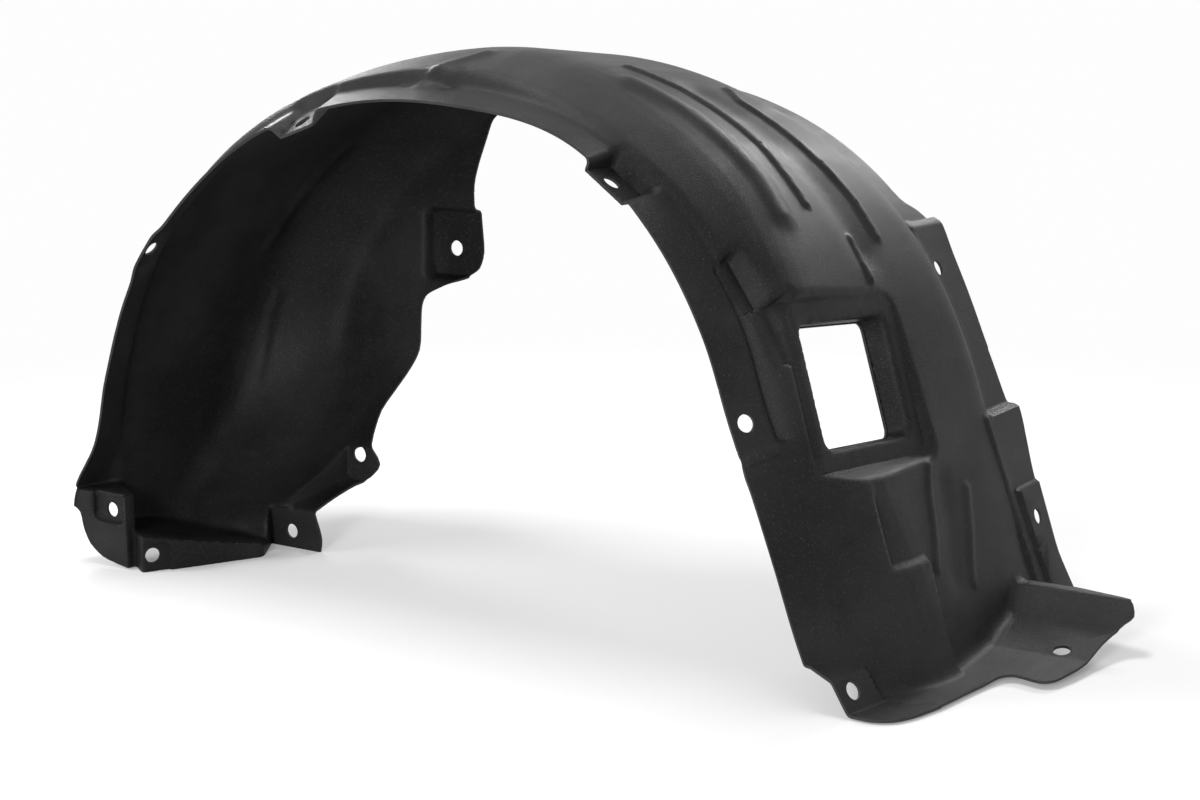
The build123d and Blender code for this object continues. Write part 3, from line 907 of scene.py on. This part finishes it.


# Pebble heights for the bump, and lighter specks that are painted glints of the grain.
grain_and_glint_group, gi, go = group("pebbled_grain_and_painted_glints", [("Vector", "NodeSocketVector", None)],
                            [("Height", "NodeSocketFloat"), ("PaintedGlints", "NodeSocketFloat")])
pebbles = grain_and_glint_group.nodes.new("ShaderNodeTexVoronoi")
pebbles.inputs["Scale"].default_value = 850.0
grain_and_glint_group.links.new(gi.outputs["Vector"], pebbles.inputs["Vector"])
fine_noise = noise(grain_and_glint_group, gi.outputs["Vector"], 1500.0, 2.0)
mixed = grain_and_glint_group.nodes.new("ShaderNodeMath")
mixed.operation = "MULTIPLY_ADD"
mixed.inputs[1].default_value = 0.6
grain_and_glint_group.links.new(pebbles.outputs["Distance"], mixed.inputs[0])
grain_and_glint_group.links.new(fine_noise, mixed.inputs[2])
grain_and_glint_group.links.new(mixed.outputs["Value"], go.inputs["Height"])
# Where this noise peaks, a lighter speck: a painted glint.
glint_spots = noise(grain_and_glint_group, gi.outputs["Vector"], 620.0, 3.0, 0.7)
grain_and_glint_group.links.new(ramp(grain_and_glint_group, glint_spots, 0.55, 0.75), go.inputs["PaintedGlints"])

haze_group, hi, ho = group("handling_haze", [("Vector", "NodeSocketVector", None)],
                           [("Patches", "NodeSocketFloat"), ("Streaks", "NodeSocketFloat")])
patches = noise(haze_group, hi.outputs["Vector"], 7.0, 6.0, 0.62)
haze_group.links.new(ramp(haze_group, patches, 0.38, 0.68), ho.inputs["Patches"])
stretch = haze_group.nodes.new("ShaderNodeMapping")
stretch.inputs["Scale"].default_value = (30.0, 5.0, 12.0)
haze_group.links.new(hi.outputs["Vector"], stretch.inputs["Vector"])
streaks = noise(haze_group, stretch.outputs["Vector"], 1.0, 4.0, 0.6)
haze_group.links.new(ramp(haze_group, streaks, 0.45, 0.8), ho.inputs["Streaks"])
print("groups:", grain_and_glint_group.name, haze_group.name)


# %% Two finishes of one plastic: the grained face, and the cut edge, lighter as a painted highlight
DULL_SPECULAR = 0.11
# Colour of the specks, lighter than the plastic: painted glints.
PAINTED_GLINT_COLOUR = (0.045, 0.045, 0.046, 1)


def plastic(name, dark, light, rough_low, rough_high, grain_depth):
    mat = bpy.data.materials.new(name)
    mat.use_nodes = True
    tree = mat.node_tree
    shader = tree.nodes["Principled BSDF"]
    place = tree.nodes.new("ShaderNodeTexCoord").outputs["Object"]
    haze = tree.nodes.new("ShaderNodeGroup")
    haze.node_tree = haze_group
    tree.links.new(place, haze.inputs["Vector"])
    tone = tree.nodes.new("ShaderNodeMix")
    tone.data_type = "RGBA"
    tone.inputs["A"].default_value = dark
    tone.inputs["B"].default_value = light
    tree.links.new(haze.outputs["Patches"], tone.inputs["Factor"])
    rough = tree.nodes.new("ShaderNodeMapRange")
    rough.inputs["To Min"].default_value = rough_high
    rough.inputs["To Max"].default_value = rough_low
    tree.links.new(haze.outputs["Streaks"], rough.inputs["Value"])
    tree.links.new(rough.outputs["Result"], shader.inputs["Roughness"])
    shader.inputs["Specular IOR Level"].default_value = DULL_SPECULAR
    colour = tone.outputs["Result"]
    if grain_depth:
        grain = tree.nodes.new("ShaderNodeGroup")
        grain.node_tree = grain_and_glint_group
        tree.links.new(place, grain.inputs["Vector"])
        # The specks lighten the colour: painted glints over the grain.
        glint_mix = tree.nodes.new("ShaderNodeMix")
        glint_mix.data_type = "RGBA"
        glint_mix.inputs["B"].default_value = PAINTED_GLINT_COLOUR
        tree.links.new(grain.outputs["PaintedGlints"], glint_mix.inputs["Factor"])
        tree.links.new(colour, glint_mix.inputs["A"])
        colour = glint_mix.outputs["Result"]
        bump = tree.nodes.new("ShaderNodeBump")
        bump.inputs["Strength"].default_value = 0.5
        bump.inputs["Distance"].default_value = grain_depth
        tree.links.new(grain.outputs["Height"], bump.inputs["Height"])
        tree.links.new(bump.outputs["Normal"], shader.inputs["Normal"])
    tree.links.new(colour, shader.inputs["Base Color"])
    return mat


liner.data.materials[0] = plastic("grained_black", (0.0085, 0.0085, 0.0088, 1),
                                  (0.018, 0.018, 0.0184, 1), 0.32, 0.46, 0.0005)
# The cut edge's colour is lighter than the face's: a painted highlight along the edge.
liner.data.materials[1] = plastic("cut_edge_painted_highlight", (0.024, 0.024, 0.0245, 1),
                                  (0.040, 0.040, 0.0405, 1), 0.45, 0.60, 0.0)
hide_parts(NODE)
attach(liner, "root")
print("materials:", [m.name for m in liner.data.materials])

# %% [markdown]
# ## Studio
#
# A plain pale floor, a white surround and large soft lamps. The surround is white only to the
# camera and in reflections. The light that it gives the object is plain and much weaker.

# %% Rays that see the white surround
def seen_by(tree, path):
    """One for camera, glossy and transmission rays, else zero."""
    value = path.outputs["Is Camera Ray"]
    for kind in ("Is Glossy Ray", "Is Transmission Ray"):
        both = tree.nodes.new("ShaderNodeMath")
        both.operation = "ADD"
        both.use_clamp = True
        tree.links.new(value, both.inputs[0])
        tree.links.new(path.outputs[kind], both.inputs[1])
        value = both.outputs["Value"]
    return value


print("white for: camera, glossy and transmission rays")

# %% Floor and surround
WHITE = 0.985
SURROUND_LIGHT = 0.34  # what the surround gives the object
FLOOR_HALF = 12  # metres
SHADED_TO, WHITE_FROM = 0.55, 1.5  # metres from the middle, between which the floor turns white
WHITE_SHARE = 0.2  # share of white that the floor has near the object


def plain_floor():
    mesh = bpy.data.meshes.new("floor")
    h = FLOOR_HALF
    mesh.from_pydata([(-h, -h, 0), (h, -h, 0), (h, h, 0), (-h, h, 0)], [], [(0, 1, 2, 3)])
    obj = bpy.data.objects.new("floor", mesh)
    bpy.context.scene.collection.objects.link(obj)
    mat = bpy.data.materials.new("pale_floor")
    mat.use_nodes = True
    tree = mat.node_tree
    shader = tree.nodes["Principled BSDF"]
    shader.inputs["Base Color"].default_value = (0.84, 0.84, 0.84, 1)
    shader.inputs["Roughness"].default_value = 0.9
    glow = tree.nodes.new("ShaderNodeEmission")
    glow.inputs["Color"].default_value = (WHITE, WHITE, WHITE, 1)
    # white further out, with the shaded floor only round the object
    place = tree.nodes.new("ShaderNodeTexCoord").outputs["Object"]
    far = tree.nodes.new("ShaderNodeVectorMath")
    far.operation = "LENGTH"
    tree.links.new(place, far.inputs[0])
    ring = tree.nodes.new("ShaderNodeMapRange")
    ring.interpolation_type = "SMOOTHSTEP"
    ring.inputs["From Min"].default_value = SHADED_TO
    ring.inputs["From Max"].default_value = WHITE_FROM
    ring.inputs["To Min"].default_value = WHITE_SHARE
    tree.links.new(far.outputs["Value"], ring.inputs["Value"])
    path = tree.nodes.new("ShaderNodeLightPath")
    share = tree.nodes.new("ShaderNodeMath")
    share.operation = "MULTIPLY"
    tree.links.new(seen_by(tree, path), share.inputs[0])
    tree.links.new(ring.outputs["Result"], share.inputs[1])
    both = tree.nodes.new("ShaderNodeMixShader")
    tree.links.new(share.outputs["Value"], both.inputs["Fac"])
    tree.links.new(shader.outputs["BSDF"], both.inputs[1])
    tree.links.new(glow.outputs["Emission"], both.inputs[2])
    tree.links.new(both.outputs["Shader"], tree.nodes["Material Output"].inputs["Surface"])
    mesh.materials.append(mat)


plain_floor()
world = bpy.data.worlds.new("surround")
bpy.context.scene.world = world
world.use_nodes = True
wn, wl = world.node_tree.nodes, world.node_tree.links
wn["Background"].inputs["Color"].default_value = (1, 1, 1, 1)
path = wn.new("ShaderNodeLightPath")
level = wn.new("ShaderNodeMapRange")
level.inputs["To Min"].default_value = SURROUND_LIGHT
level.inputs["To Max"].default_value = WHITE
wl.new(seen_by(world.node_tree, path), level.inputs["Value"])
wl.new(level.outputs["Result"], wn["Background"].inputs["Strength"])
print("floor", 2 * FLOOR_HALF, "m wide, surround", world.name)

# %% Lamps
def soft_lamp(name, spot, target, size, power):
    data = bpy.data.lights.new(name, "AREA")
    data.shape = "RECTANGLE"
    data.size, data.size_y = size
    data.energy = power
    obj = bpy.data.objects.new(name, data)
    bpy.context.scene.collection.objects.link(obj)
    obj.location = spot
    obj.rotation_euler = (Vector(target) - Vector(spot)).to_track_quat("-Z", "Y").to_euler()


# name, place and aim in metres, size, and power in watts
soft_lamp("back", (0.2, 2.3, 1.6), (0.1, 0, 0.3), (0.8, 0.5), 30)
soft_lamp("back_left", (-2.1, 1.3, 1.3), (-0.2, 0, 0.3), (0.6, 0.6), 18)
soft_lamp("top", (-0.4, -0.1, 2.3), (0, 0, 0.2), (0.8, 0.5), 26)
soft_lamp("front_left", (-1.8, -1.6, 1.4), (-0.3, 0, 0.3), (0.6, 0.6), 26)
soft_lamp("front", (0.7, -2.6, 0.9), (-0.3, 0, 0.2), (0.6, 0.6), 46)
bpy.context.scene.view_settings.view_transform = "Standard"
